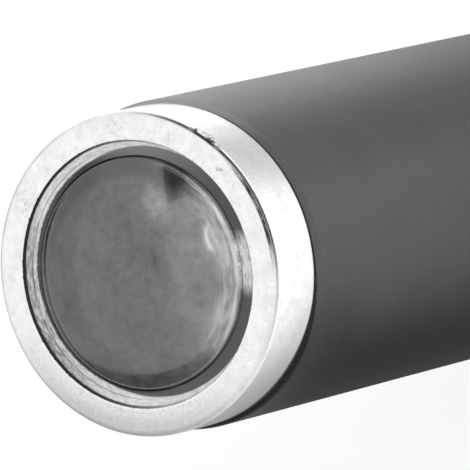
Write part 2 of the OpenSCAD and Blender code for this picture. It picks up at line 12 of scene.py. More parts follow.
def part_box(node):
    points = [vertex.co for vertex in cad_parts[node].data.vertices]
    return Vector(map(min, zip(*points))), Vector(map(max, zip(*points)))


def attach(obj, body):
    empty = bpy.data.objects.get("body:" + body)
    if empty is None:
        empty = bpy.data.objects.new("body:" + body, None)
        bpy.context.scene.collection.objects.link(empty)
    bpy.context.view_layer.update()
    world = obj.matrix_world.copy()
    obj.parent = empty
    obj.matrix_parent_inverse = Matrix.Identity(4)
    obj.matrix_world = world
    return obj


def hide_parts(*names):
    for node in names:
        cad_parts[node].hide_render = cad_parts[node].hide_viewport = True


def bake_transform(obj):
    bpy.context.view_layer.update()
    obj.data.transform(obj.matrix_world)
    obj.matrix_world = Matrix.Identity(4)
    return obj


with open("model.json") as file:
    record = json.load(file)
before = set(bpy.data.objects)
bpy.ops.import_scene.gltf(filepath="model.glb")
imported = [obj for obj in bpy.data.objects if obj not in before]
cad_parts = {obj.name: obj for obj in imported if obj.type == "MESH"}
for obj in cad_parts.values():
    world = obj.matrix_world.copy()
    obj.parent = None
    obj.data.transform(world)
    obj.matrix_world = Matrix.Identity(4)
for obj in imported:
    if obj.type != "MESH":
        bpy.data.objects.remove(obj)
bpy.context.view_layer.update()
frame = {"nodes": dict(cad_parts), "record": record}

MM = 0.001
FULL_TURN = 2 * math.pi

# Camera: it looks into the lens from the side of -Y, and the tube runs to the right of the picture.
# Upper, lower, left and right are as the photograph shows them, so +X is up and -Y is on the right.
# FACE_IN_VIEW is the middle of the bezel's face in the camera's own frame.
VIEW_TILT = math.radians(32.265)
TUBE_RISE = math.radians(13.188)
FACE_IN_VIEW = Vector((-6.418, -2.579, -591.0)) * MM
SENSOR_WIDTH = 36
FOCAL_LENGTH = 692.4


# Heights and radii that the frame gives, in millimetres

def box_mm(node):
    low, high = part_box(node)
    return low / MM, high / MM


bezel_low, bezel_high = box_mm("bezel_ring")
sleeve_low, sleeve_high = box_mm("head_sleeve")
tube_low, tube_high = box_mm("body_tube")
cap_high = box_mm("tail_cap")[1]
lens_low, lens_high = box_mm("lens")
boot_low, boot_high = box_mm("button_boot")

FACE_Z = bezel_high.z
BEZEL_R = bezel_high.x
BODY_R = sleeve_high.x

# Sizes of the turned pieces that a box does not give, in millimetres
SEAM_CHAMFER = 0.2
BEZEL_BAND = 4.7
BEZEL_SEAM = 0.1
BEZEL_ROUND = 0.35
BEZEL_LIP = 1.4
MOUTH_R = 8.85
MOUTH_STEP = 0.2
MOUTH_FLARE_R = 8.72
MOUTH_FLARE_END = 0.54
THROAT_R = 7.78
POCKET_R = 9.3
SKIRT_R = 10.2
SKIRT_GROOVE_R = 9.7
SKIRT_GROOVE_W = 0.55
SKIRT_SEAL_BELOW_BAND = 0.45
LENS_R = 7.9
LENS_NECK_R = 7.73
LENS_RIM_R = 7.7
LENS_RIM_DEPTH = 0.38
LENS_TAPER = 0.6
LENS_DOME_R = 7.55
LENS_EDGE_ROUND = 0.15
LENS_FLANGE_R = 9.2
LENS_FLANGE_T = 1.2
SLEEVE_LEAD = 0.5
SLEEVE_LEAD_IN = 0.35
RAIL_R = 9.1
CHAMBER_R = 9.5
SOCKET_R = 10.25
SLEEVE_STOP_ABOVE = 26.5
BARREL_R = 9.0
SHOULDER_Z = 47.7
BORE_R = 7.45
ENGINE_BORE_R = 8.0
ENGINE_BORE_LEN = 6.6
TAIL_SOCKET_R = 9.24
TAIL_SOCKET_LEN = 6
CAP_LEN = 14
RIM_CHAMFER = 0.8
RECESS_R = 6.5
RECESS_DEPTH = 1.6
WEB_T = 2
BUTTON_HOLE_R = 5.2
CAP_BORE_R = 7.39
SPIGOT_R = 9.19
TAIL_GROOVE_R = 8.18
TAIL_GROOVE_LOW = 14.2
TAIL_GROOVE_W = 1.06
GRIP_GROOVES = 4
GRIP_PITCH = 2
GRIP_W = 0.8
GRIP_DEPTH = 0.3
BOOT_R = 5
BOOT_WALL = 0.8
BOOT_FLANGE_T = 1
BOOT_CROWN_RISE = 0.1
THREAD_PITCH = 0.8
THREAD_DEPTH = 0.25
THREAD_HALF_W = 0.28

# Rounding of the corners
BEZEL_CORNER = 0.03
TUBE_CORNER = 0.04
CAP_CORNER = 0.06

OUTSIDE_STEPS = 192
INSIDE_STEPS = 128


# Shapes

def add_object(name, data):
    """Puts a mesh, a lamp or the camera into the scene."""
    added = bpy.data.objects.new(name, data)
    bpy.context.scene.collection.objects.link(added)
    return added


def finished_mesh(name, shape):
    mesh = bpy.data.meshes.new(name)
    shape.to_mesh(mesh)
    shape.free()
    return mesh


def smooth_to(mesh, degrees):
    """Smooth shading, except over edges that turn by more than an angle."""
    mesh.shade_smooth()
    mesh.set_sharp_from_angle(angle=math.radians(degrees))


def soften(outline, size, closed=True):
    """Rounds the corners of an outline, with a point close by on each side so that the flats stay flat."""
    least_turn = math.radians(18)
    most_of_side = 0.3
    support = 1.35
    curve_steps = 4
    last = len(outline) - 1
    result = []
    for i, point in enumerate(outline):
        corner = Vector(point)
        if not closed and i in (0, last):
            result.append(corner)
            continue
        back = Vector(outline[i - 1]) - corner
        ahead = Vector(outline[(i + 1) % len(outline)]) - corner
        if math.pi - back.angle(ahead) < least_turn:
            result.append(corner)
            continue
        cut = min(size, most_of_side * back.length, most_of_side * ahead.length)
        start = corner + back.normalized() * cut
        end = corner + ahead.normalized() * cut
        result.append(corner + back.normalized() * cut * support)
        for step in range(curve_steps + 1):
            t = step / curve_steps
            result.append(start * (1 - t) ** 2 + corner * 2 * t * (1 - t) + end * t ** 2)
        result.append(corner + ahead.normalized() * cut * support)
    return result


def arc(centre, radius, start, end, steps=8):
    """Points of an outline along an arc, with its angles in degrees."""
    angles = [math.radians(start + (end - start) * i / steps) for i in range(steps + 1)]
    return [(centre[0] + radius * math.cos(a), centre[1] + radius * math.sin(a)) for a in angles]


def thread_points(radius, low, high):
    """Points of an outside thread going up, drawn as separate V grooves."""
    turns = math.floor((high - low) / THREAD_PITCH + 0.001)
    points = []
    for i in range(turns):
        middle = low + (i + 0.5) * THREAD_PITCH
        points.append((radius, middle - THREAD_HALF_W))
        points.append((radius - THREAD_DEPTH, middle))
        points.append((radius, middle + THREAD_HALF_W))
    return points


def turned_mesh(name, outline, steps=OUTSIDE_STEPS, closed=True):
    """A piece turned about Z from an outline of (radius, height) points in millimetres."""
    shape = bmesh.new()
    points = [shape.verts.new((radius * MM, 0, height * MM)) for radius, height in outline]
    edges = [shape.edges.new(pair) for pair in zip(points, points[1:])]
    if closed:
        edges.append(shape.edges.new((points[-1], points[0])))
    bmesh.ops.spin(
        shape, geom=points + edges, cent=(0, 0, 0), axis=(0, 0, 1), dvec=(0, 0, 0),
        angle=FULL_TURN, steps=steps, use_merge=True, use_duplicate=False,
    )
    bmesh.ops.remove_doubles(shape, verts=shape.verts, dist=0.0005 * MM)
    bmesh.ops.recalc_face_normals(shape, faces=shape.faces)
    mesh = finished_mesh(name, shape)
    smooth_to(mesh, 35)
    return add_object(name, mesh)


# Node helpers for the finishes

def put(tree, kind, inputs=None, **settings):
    """Adds a node, sets its properties, and links or sets its sockets."""
    node = tree.nodes.new(kind)
    for key, value in settings.items():
        setattr(node, key, value)
    for socket, value in (inputs or {}).items():
        if isinstance(value, bpy.types.NodeSocket):
            tree.links.new(value, node.inputs[socket])
        else:
            node.inputs[socket].default_value = value
    return node


def calc(tree, operation, first, second=0.0):
    return put(tree, "ShaderNodeMath", {0: first, 1: second}, operation=operation).outputs[0]


def chain(tree, operation, values):
    """Takes one operation through a row of values."""
    result = values[0]
    for value in values[1:]:
        result = calc(tree, operation, result, value)
    return result


def total(tree, *values):
    return chain(tree, "ADD", values)


def product(tree, *values):
    return chain(tree, "MULTIPLY", values)


def largest(tree, *values):
    return chain(tree, "MAXIMUM", values)


def opposite(tree, value):
    return calc(tree, "SUBTRACT", 1, value)


def vectors(tree, operation, *values, output=0):
    """Vector arithmetic on places and directions."""
    return put(tree, "ShaderNodeVectorMath", dict(enumerate(values)), operation=operation).outputs[output]


def new_finish(name, **sockets):
    """A material with one Principled shader, whose constants are set on its own sockets."""
    material = bpy.data.materials.new(name)
    material.use_nodes = True
    shader = material.node_tree.nodes["Principled BSDF"]
    for socket, value in sockets.items():
        shader.inputs[socket.replace("_", " ")].default_value = value
    return material, material.node_tree, shader


def feed(tree, shader, **values):
    """Links values to the sockets of a shader."""
    for socket, value in values.items():
        tree.links.new(value, shader.inputs[socket.replace("_", " ")])


def object_point(tree):
    return put(tree, "ShaderNodeTexCoord").outputs["Object"]


def coordinate(tree, point, axis):
    return put(tree, "ShaderNodeSeparateXYZ", {0: point}).outputs[axis]


def flat_part(tree, point):
    """A place brought down to the height of nought, so that only its way across the tube is left."""
    return vectors(tree, "MULTIPLY", point, (1, 1, 0))


def radius_of(tree, point):
    """Distance from the tube's axis."""
    return vectors(tree, "LENGTH", flat_part(tree, point), output="Value")


def noise(tree, point, size, detail=3, roughness=0.55, stretch=None):
    """Noise whose blobs are about size millimetres across."""
    if stretch:
        point = put(tree, "ShaderNodeMapping", {"Vector": point, "Scale": stretch}).outputs[0]
    return put(tree, "ShaderNodeTexNoise", {
        "Vector": point, "Scale": 1 / (size * MM), "Detail": detail, "Roughness": roughness,
    }).outputs["Fac"]


def along_rings(tree, point, radius, stretch):
    """A place whose noise runs in streaks round the axis, stretched so many times."""
    around = vectors(tree, "NORMALIZE", flat_part(tree, point))
    shrunk = put(tree, "ShaderNodeVectorMath", {0: around, "Scale": BEZEL_R * MM / stretch},
                 operation="SCALE").outputs[0]
    outward = put(tree, "ShaderNodeCombineXYZ", {2: radius}).outputs[0]
    return vectors(tree, "ADD", shrunk, outward)


def spread(tree, value, low, high, to_low=0.0, to_high=1.0, soft=False):
    """Maps a value from one range to another, and stays inside it."""
    return put(tree, "ShaderNodeMapRange", {
        "Value": value, "From Min": low, "From Max": high, "To Min": to_low, "To Max": to_high,
    }, interpolation_type="SMOOTHSTEP" if soft else "LINEAR").outputs[0]


def spread_mm(tree, length, low, high, to_low=0.0, to_high=1.0, soft=False):
    """Does the same to a length, whose own range is in millimetres."""
    return spread(tree, length, low * MM, high * MM, to_low, to_high, soft)


def under(tree, length, limit):
    """One where a length is below a limit in millimetres."""
    return calc(tree, "LESS_THAN", length, limit * MM)


def over(tree, length, limit):
    """One where a length is above a limit in millimetres."""
    return calc(tree, "GREATER_THAN", length, limit * MM)


def near(tree, point, centre, reach, core=0.0, stretch=(1, 1, 1)):
    """One at a place, and nought from a reach away, all in millimetres."""
    offset = vectors(tree, "SUBTRACT", point, tuple(c * MM for c in centre))
    distance = vectors(tree, "LENGTH", vectors(tree, "MULTIPLY", offset, stretch), output="Value")
    return spread_mm(tree, distance, core, reach, 1, 0, soft=True)


def round_the_tube(azimuth, distance, height=0.0):
    """A place at an azimuth in degrees, counted from the camera's side towards +X, in millimetres."""
    angle = math.radians(azimuth)
    return (distance * math.sin(angle), -distance * math.cos(angle), height)


def on_side(tree, point, azimuth, low, high, from_level=0.0, to_level=1.0):
    """Goes from one level to another between two distances from the axis, towards an azimuth."""
    reach = vectors(tree, "DOT_PRODUCT", point, round_the_tube(azimuth, 1), output="Value")
    side = spread_mm(tree, reach, low, high, soft=True)
    if (from_level, to_level) == (0.0, 1.0):
        return side
    return spread(tree, side, 0, 1, from_level, to_level)


def ring_zone(tree, radius, inside, outside, blur):
    """One between two radii, and nought from a blur beyond them, in millimetres."""
    return product(tree, spread_mm(tree, radius, inside - blur, inside),
                   spread_mm(tree, radius, outside, outside + blur, 1, 0))


def grey(tree, level):
    """A grey whose level a socket gives."""
    return put(tree, "ShaderNodeCombineColor", {0: level, 1: level, 2: level}).outputs[0]


def mix(tree, factor, first, second):
    """A colour between two, each a colour or the level of a grey."""
    def colour(value):
        return (value, value, value, 1) if isinstance(value, (int, float)) else value
    return put(tree, "ShaderNodeMix", {
        "Factor": factor, "A": colour(first), "B": colour(second),
    }, data_type="RGBA").outputs["Result"]


def shades(colour, dark, light):
    """A colour times each of two factors."""
    return (*[c * dark for c in colour], 1), (*[min(1, c * light) for c in colour], 1)


def raised(tree, value, strength, distance):
    """The normal of a surface that a value raises by a distance in millimetres."""
    return put(tree, "ShaderNodeBump", {
        "Strength": strength, "Distance": distance * MM, "Height": value,
    }).outputs["Normal"]


# Finish of the tube, sleeve and cap

def sleeve_edge_shadow(tree, height, lower_side):
    """Painted shadow: a dark line at the sleeve's front end under the bezel, which is wider on its lower
    side.
    """
    width = 0.09
    growth = 0.3
    blur = 0.06
    start = calc(tree, "SUBTRACT", (sleeve_high.z - width) * MM, product(tree, lower_side, growth * MM))
    return spread_mm(tree, calc(tree, "SUBTRACT", height, start), 0, blur)


def sleeve_lead_light_and_shade(tree, point, lower_side):
    """Grey of the sleeve's lead under the bezel: painted light on its upper side and painted shade on its
    lower one.
    """
    lit_side = on_side(tree, point, 88, 6.5, 11.2, 0.1, 0.34)
    return grey(tree, calc(tree, "SUBTRACT", lit_side, product(tree, lower_side, 0.06)))


def anodised_finish():
    """Graphite grey, matte, with a fine satin grain, a painted shadow along the sleeve's edge under the
    bezel, and painted light and shade on the sleeve's lead.
    """
    material, tree, shader = new_finish("anodised")
    point = object_point(tree)
    height = coordinate(tree, point, "Z")
    grain = noise(tree, point, 0.12, detail=4, roughness=0.75)
    cloud = noise(tree, point, 4, detail=4)
    level = total(tree, product(tree, grain, 0.7), product(tree, cloud, 0.3))
    colour = mix(tree, spread(tree, level, 0.36, 0.64), 0.03, 0.06)
    specks = spread(tree, noise(tree, point, 0.3, detail=2), 0.68, 0.74, 0, 0.3)
    colour = mix(tree, specks, colour, 0.16)

    lower_side = on_side(tree, point, -95, -1, 9.5)
    lead_z = sleeve_high.z - SLEEVE_LEAD
    lead = spread_mm(tree, height, lead_z - 0.03, lead_z)
    # Painted light and shade on the sleeve's lead: paler on its upper side, darker on its lower one
    colour = mix(tree, lead, colour, sleeve_lead_light_and_shade(tree, point, lower_side))
    # Painted shadow along the sleeve's front edge under the bezel, wider on its lower side; it also takes
    # away gloss
    painted_dark_edge = sleeve_edge_shadow(tree, height, lower_side)
    colour = mix(tree, painted_dark_edge, colour, mix(tree, spread(tree, grain, 0.4, 0.6), 0.012, 0.045))
    dull_from = 85
    dull_to = 92.3
    dulled = product(tree, on_side(tree, point, -80, 3, 9),
                     spread_mm(tree, height, dull_from, dull_to, 0, 0.7))
    gloss = product(tree, opposite(tree, product(tree, painted_dark_edge, 0.8)), opposite(tree, dulled), 0.5)
    feed(tree, shader, Base_Color=colour, Roughness=spread(tree, level, 0.36, 0.64, 0.26, 0.34),
         Specular_IOR_Level=gloss, Normal=raised(tree, grain, 0.25, 0.008))
    return material


# Finish of the bezel

def bezel_places(tree):
    """What the bezel's marks share: places, distances, noises, its flat face and its mouth."""
    at = SimpleNamespace()
    at.point = object_point(tree)
    at.radius = radius_of(tree, at.point)
    at.height = coordinate(tree, at.point, "Z")
    at.depth = calc(tree, "SUBTRACT", FACE_Z * MM, at.height)
    at.mottle = noise(tree, at.point, 1.1, detail=7, roughness=0.68)
    at.fine = noise(tree, at.point, 0.3, detail=5, roughness=0.72)
    at.ragged = noise(tree, at.point, 0.22, detail=4, roughness=0.75)
    at.streaks = noise(tree, along_rings(tree, at.point, at.radius, 6), 0.13, detail=4, roughness=0.7)
    at.face = product(tree, under(tree, at.depth, 0.02), spread_mm(tree, at.radius, 8.9, 9.1))
    at.mouth = product(tree, under(tree, at.radius, MOUTH_R + 0.02),
                       spread_mm(tree, at.depth, MOUTH_STEP - 0.1, MOUTH_STEP - 0.06))
    return at


def mottled_plating(tree, at):
    """Bright mottled plating, darker on the face and on the outer edge towards the lower left."""
    colour = mix(tree, spread(tree, at.mottle, 0.34, 0.6), 0.82, 0.95)
    colour = mix(tree, spread(tree, at.fine, 0.54, 0.76, 0, 0.6), colour, 0.55)
    # The face is darker towards the lower left, in mottled blotches
    face_darker_lower_left = product(tree, at.face, on_side(tree, at.point, -110, 3, 11),
                        spread(tree, at.mottle, 0.3, 0.65, 0.2, 0.6),
                        spread(tree, at.ragged, 0.35, 0.62, 0.5, 1.5))
    colour = mix(tree, face_darker_lower_left, colour, 0.5)
    # The outer edge is darker towards the lower left
    edge_darker_lower_left = product(tree, ring_zone(tree, at.radius, 10, 10.75, 0.7),
                        on_side(tree, at.point, -112, 5, 10.5), under(tree, at.depth, BEZEL_ROUND), 0.45)
    return mix(tree, edge_darker_lower_left, colour, 0.4)


def mouth_plating(tree, at, mouth_highlight, colour):
    """Adds the mouth's streaks, a painted dark reflection on its right side, tarnish on its left side with
    painted shade towards the step, and a painted highlight.
    """
    colour = mix(tree, product(tree, at.mouth, spread(tree, at.streaks, 0.4, 0.7, 0, 0.4)), colour, 0.3)
    # Painted dark reflection in the mouth, covering more of it towards the right and paler towards the
    # upper side
    reflection_edge = total(tree, at.radius, product(tree, coordinate(tree, at.point, "Y"), 0.09))
    right_dark_reflection = product(tree, at.mouth, spread_mm(tree, reflection_edge, 8.2, 8.3, 1, 0), 0.95)
    right_reflection_level = on_side(tree, at.point, 92, 3.5, 8, 0.062, 0.2)
    colour = mix(tree, right_dark_reflection, colour, grey(tree, right_reflection_level))
    # Tarnish streaks on the left side, with painted shade that grows towards the step
    tarnish_and_shade = product(tree, at.mouth, on_side(tree, at.point, 186, 5, 8.6, 0.2, 1),
                      spread_mm(tree, at.radius, 8.2, 8.6, 0.9, 1.2),
                      spread(tree, at.streaks, 0.38, 0.62, 0.35, 1))
    colour = mix(tree, tarnish_and_shade, colour, 0.2)
    # Painted highlight: a bright, streaky patch in the mouth on its right side
    return mix(tree, product(tree, mouth_highlight, spread(tree, at.streaks, 0.36, 0.56, 0.35, 1)), colour, 1)


def mouth_shade_and_dirt(tree, at):
    """Painted shade with ragged dirt in the mouth's step and on the burr round it, stronger on the left,
    and painted shade on the left in its throat and along a fine crease line.
    """
    jagged = product(tree, calc(tree, "SUBTRACT", at.ragged, 0.5), 0.2 * MM)
    # Painted shade: the step and the burr are darker on the left
    share = on_side(tree, at.point, 172, -4, 5, 0.35, 1)
    step = product(tree, spread_mm(tree, at.radius, MOUTH_R + 0.01, MOUTH_R + 0.03, 1, 0), share,
                   spread_mm(tree, total(tree, at.radius, product(tree, jagged, 0.5)), 8.7, 8.75))
    burr_edge = total(tree, MOUTH_R * MM, product(tree, jagged, 3))
    burr_dirt_and_shade = product(tree, calc(tree, "LESS_THAN", at.radius, burr_edge), under(tree, at.depth, 0.05), share)
    # Painted shade deep in the throat, on the left
    throat_edge = total(tree, at.radius, jagged, product(tree, coordinate(tree, at.point, "X"), -0.014))
    throat_shade = product(tree, spread_mm(tree, throat_edge, 7.95, 8.02, 0.92, 0),
                     on_side(tree, at.point, 180, -2, 3), under(tree, at.depth, BEZEL_LIP - 0.02))
    # Painted shade along the crease where the flare meets the cone, on the left
    painted_dark_line = product(tree, at.mouth, ring_zone(tree, at.radius, 8.27, 8.31, 0.03),
                   on_side(tree, at.point, 180, -1, 4), 0.5)
    return largest(tree, step, burr_dirt_and_shade, throat_shade, painted_dark_line)


def edge_nick_and_reflections(tree, at):
    """Marks along the outer edge: a nick at the upper right, and painted dark reflections in the rounded
    edge, a streak on the right and a faint line on the left.
    """
    nick_place = (7.7, -7.45, FACE_Z - 0.25)
    fillet_reflection_place = (2.3, -10.2, FACE_Z)
    nick_zone = near(tree, at.point, nick_place, 1.6, core=0.8, stretch=(1, 1, 2.4))
    nick_core = ring_zone(tree, at.radius, 10.56, 10.66, 0.04)
    nick_rest = product(tree, ring_zone(tree, at.radius, 10.58, 10.8, 0.05),
                        spread(tree, total(tree, at.fine, at.streaks), 0.97, 1.06))
    nick = product(tree, nick_zone, largest(tree, nick_core, nick_rest))
    # Painted dark reflection in the rounded edge, on the right
    fillet_reflection = product(tree, ring_zone(tree, at.radius, 10.42, 10.6, 0.05),
                     near(tree, at.point, fillet_reflection_place, 4.6, core=1.6),
                     spread(tree, at.streaks, 0.3, 0.5, 0.3, 1))
    # Painted dark reflection: a faint line in the rounded edge, on the left
    painted_dark_line = product(tree, ring_zone(tree, at.radius, 10.58, 10.68, 0.05),
                   on_side(tree, at.point, 190, 0, 8), 0.3)
    return largest(tree, nick, fillet_reflection, painted_dark_line)


def face_grime(tree, at):
    """Two small spots at the upper right of the face, and faint smudges along its upper side."""
    spot_places = ((5.47, -7.93), (5.38, -8.2))
    # Azimuth, distance and reach of each smudge
    smudge_places = ((84, 9.9, 1.1), (60, 9.6, 0.7), (140, 9.7, 1.5))
    spots = largest(tree, *[near(tree, at.point, (x, y, FACE_Z), 0.2, core=0.05) for x, y in spot_places])
    smudges = largest(tree, *[
        near(tree, at.point, round_the_tube(azimuth, distance, FACE_Z), reach)
        for azimuth, distance, reach in smudge_places
    ])
    return largest(tree, product(tree, spots, spread(tree, at.ragged, 0.4, 0.6)),
                   product(tree, at.face, spread(tree, at.fine, 0.42, 0.62), smudges, 0.22))


def seam_shade(tree, at):
    """Painted shade: a dark line at the foot of the band, which is wider on its lower side."""
    width = 0.16
    growth = 0.5
    # Painted shade in the seam between the band and the sleeve
    top = total(tree, (FACE_Z - BEZEL_BAND + width) * MM,
                product(tree, on_side(tree, at.point, -88, 4, 11), growth * MM))
    painted_dark_line = spread_mm(tree, calc(tree, "SUBTRACT", at.height, top), -0.1, 0.06, 1, 0)
    return product(tree, painted_dark_line, over(tree, at.radius, 10.4))


def bezel_finish():
    """Bright satin plating, mottled, with handling marks and dirt, painted shade in the mouth and at the
    band's foot, painted dark reflections in its rounded edge, and a painted highlight in the mouth.
    """
    grime_and_shade_level = 0.03
    mouth_highlight_place = (-0.9, -8.5, FACE_Z - 0.5)
    material, tree, shader = new_finish("bezel_plating")
    at = bezel_places(tree)
    # Painted highlight in the mouth on its right side, which is also made less metallic
    mouth_highlight = product(tree, at.mouth, near(tree, at.point, mouth_highlight_place, 2.5, core=1.2))
    # Real dirt and painted shade, darkened together to one grey
    grime_and_shade = largest(tree, mouth_shade_and_dirt(tree, at), edge_nick_and_reflections(tree, at), face_grime(tree, at),
                    seam_shade(tree, at))
    colour = mouth_plating(tree, at, mouth_highlight, mottled_plating(tree, at))
    rounded = product(tree, ring_zone(tree, at.radius, 10.36, 10.72, 0.03),
                      on_side(tree, at.point, -75, 2, 8, 0.3, 0.5))
    rough = largest(tree, spread(tree, at.mottle, 0.3, 0.7, 0.26, 0.14), product(tree, grime_and_shade, 0.7),
                    product(tree, at.mouth, 0.35), rounded)
    dull = largest(tree, product(tree, grime_and_shade, 0.9), product(tree, at.mouth, 0.3), product(tree, mouth_highlight, 0.8))
    feed(tree, shader, Base_Color=mix(tree, grime_and_shade, colour, grime_and_shade_level), Metallic=opposite(tree, dull),
         Roughness=rough, Normal=raised(tree, at.fine, 0.2, 0.01))
    return material


# Finish of the lens

def lens_places(tree):
    """What the lens's marks share: places, distances and noises."""
    at = SimpleNamespace()
    at.point = object_point(tree)
    at.radius = radius_of(tree, at.point)
    at.haze = noise(tree, at.point, 2.6, detail=6, roughness=0.62)
    at.smears = noise(tree, at.point, 0.6, detail=5, roughness=0.7)
    at.streaks = noise(tree, along_rings(tree, at.point, at.radius, 8), 0.3, detail=3, roughness=0.5)
    return at


def lens_haze_and_sheen(tree, at):
    """Level of the milky haze smeared all over, of a paler patch, and of painted light on the right: a
    sheen and highlight streaks in a ring.
    """
    patch_place = (4.5, -3.2, lens_high.z - 1)
    thin = total(tree, spread(tree, at.haze, 0.32, 0.68, 0.02, 0.07),
                 spread(tree, at.smears, 0.35, 0.7, -0.015, 0.04))
    # Painted sheen: the lens is paler towards its right side
    right_sheen = product(tree, on_side(tree, at.point, -8, 0, 8.5),
                         spread(tree, at.haze, 0.3, 0.7, 0.08, 0.22))
    patch = product(tree, near(tree, at.point, patch_place, 2.2, core=0.4, stretch=(1, 1.5, 0.6)),
                    spread(tree, at.smears, 0.35, 0.6, 0.08, 0.17))
    # Painted highlight: pale streaks in a ring on the right
    halo_highlight = product(tree, on_side(tree, at.point, -10, 3, 7), ring_zone(tree, at.radius, 6.6, 7.2, 0.5),
                   spread(tree, at.streaks, 0.38, 0.62, 0.03, 0.26))
    return total(tree, thin, total(tree, right_sheen, patch), halo_highlight)


def lens_edge_light(tree, at):
    """Level of the pale marks at the lens's edge: a painted highlight on its right rim, a painted paler
    shoulder on the left, a painted highlight on its right side, and its side wall, paler towards its foot.
    """
    rim_z = FACE_Z - LENS_RIM_DEPTH
    side_highlight_place = (-0.6, -8.1, FACE_Z - 0.7)
    # Painted highlight on the rounded rim, on the right
    rim_highlight = product(tree, on_side(tree, at.point, 2, 1.5, 7), ring_zone(tree, at.radius, 7.36, 7.54, 0.12),
                  spread(tree, at.streaks, 0.3, 0.6, 0.2, 0.6))
    # Painted light: the shoulder is paler on the left
    lit_shoulder = product(tree, on_side(tree, at.point, 172, 3, 7.3),
                       ring_zone(tree, at.radius, 7.3, 7.6, 0.6), 0.2)
    # Painted highlight on the lens's side wall, on the right
    side_highlight = product(tree, near(tree, at.point, side_highlight_place, 2.7, core=1.2, stretch=(1, 0.4, 0.6)),
                     over(tree, at.radius, LENS_DOME_R), spread(tree, at.smears, 0.35, 0.6, 0.2, 0.65))
    height = coordinate(tree, at.point, "Z")
    side = product(tree, over(tree, at.radius, LENS_RIM_R - 0.03),
                   spread_mm(tree, height, rim_z - LENS_TAPER, rim_z - 0.1, 0.42, 0.1))
    return largest(tree, rim_highlight, lit_shoulder, side_highlight, side)


def lens_shade(tree, at):
    """How much darker the lens is: at the mark in its middle, and where dark reflections are painted in two
    places along its upper edge.
    """
    wedge_reflection_place = (5.9, -4.3, FACE_Z)
    mark_place = (0.58, -2.42, lens_high.z)
    mark_stretch = (0.45, 1.4, 0.3)
    mark_core = near(tree, at.point, mark_place, 0.34, core=0.1, stretch=mark_stretch)
    mark_rest = product(tree, near(tree, at.point, mark_place, 0.75, stretch=mark_stretch),
                        spread(tree, at.smears, 0.35, 0.6, 0.4, 0.9))
    # Painted dark reflection: a dark wedge at the upper right
    wedge_reflection = product(tree, near(tree, at.point, wedge_reflection_place, 1.9, core=0.6), 0.7)
    # Painted dark reflection along the edge at the upper left
    painted_dark_edge = product(tree, on_side(tree, at.point, 116, 3, 6.6), ring_zone(tree, at.radius, 6.7, 7.5, 0.5),
                   spread(tree, at.smears, 0.35, 0.6, 0.5, 0.95))
    return largest(tree, mark_core, mark_rest, wedge_reflection, painted_dark_edge)


def lens_finish():
    """Moulded lens, dark inside, with a milky haze, dust and a mark in its middle, painted sheen and
    highlights on its right, a painted paler shoulder on the left, and painted dark reflections along its
    upper edge.
    """
    material, tree, shader = new_finish("lens", IOR=1.5, Specular_IOR_Level=1.0, Coat_Weight=1.0,
                                        Coat_Roughness=0.04, Coat_IOR=1.5)
    at = lens_places(tree)
    dust = spread(tree, noise(tree, at.point, 0.14, detail=2), 0.68, 0.74, 0, 0.05)
    level = total(tree, largest(tree, lens_haze_and_sheen(tree, at), lens_edge_light(tree, at)), dust)
    level = product(tree, level, opposite(tree, lens_shade(tree, at)))
    feed(tree, shader, Base_Color=grey(tree, level), Roughness=spread(tree, at.haze, 0.3, 0.7, 0.1, 0.16))
    return material


# Finishes of the inner pieces

def plain_finish(name, colour, roughness, metallic=0.0):
    """A moulded, turned or painted surface with a fine grain in its colour, roughness and bump."""
    contrast = 0.12
    material, tree, shader = new_finish(name, Metallic=metallic)
    grain = noise(tree, object_point(tree), 0.2)
    mixed = mix(tree, spread(tree, grain, 0.3, 0.7), *shades(colour, 1 - contrast, 1 + contrast))
    rough = spread(tree, grain, 0.3, 0.7, roughness * 0.85, min(1, roughness * 1.15))
    feed(tree, shader, Base_Color=mixed, Roughness=rough, Normal=raised(tree, grain, 0.1, 0.02))
    return material


def turned_finish(name, colour, roughness):
    """Metal with the fine rings that a lathe leaves, on its flat faces and its sides."""
    material, tree, shader = new_finish(name, Metallic=1.0)
    point = object_point(tree)
    outward = total(tree, radius_of(tree, point), product(tree, coordinate(tree, point, "Z"), 0.7))
    rings = noise(tree, along_rings(tree, point, outward, 30), 0.07, detail=3)
    cloud = noise(tree, point, 1.5, detail=4)
    mixed = mix(tree, spread(tree, total(tree, rings, cloud), 0.7, 1.3), *shades(colour, 0.82, 1.1))
    rough = spread(tree, cloud, 0.3, 0.7, roughness * 0.8, roughness * 1.2)
    feed(tree, shader, Base_Color=mixed, Roughness=rough, Normal=raised(tree, rings, 0.3, 0.01))
    return material


def board_finish(name, mask, over_copper):
    """Solder mask over copper tracks, which show a little and stand up a little."""
    track_field = 1.3 * MM
    material, tree, shader = new_finish(name, Roughness=0.32)
    point = object_point(tree)
    to_track = put(tree, "ShaderNodeTexVoronoi", {
        "Vector": flat_part(tree, point), "Scale": 1 / track_field, "Randomness": 0.75,
    }, feature="DISTANCE_TO_EDGE").outputs["Distance"]
    tracks = spread(tree, to_track, 0.08, 0.12, 1, 0)
    plain = mix(tree, spread(tree, noise(tree, point, 0.25), 0.3, 0.7), *shades(mask, 0.9, 1))
    mixed = mix(tree, product(tree, tracks, 0.7), plain, (*over_copper, 1))
    feed(tree, shader, Base_Color=mixed, Normal=raised(tree, tracks, 0.3, 0.03))
    return material


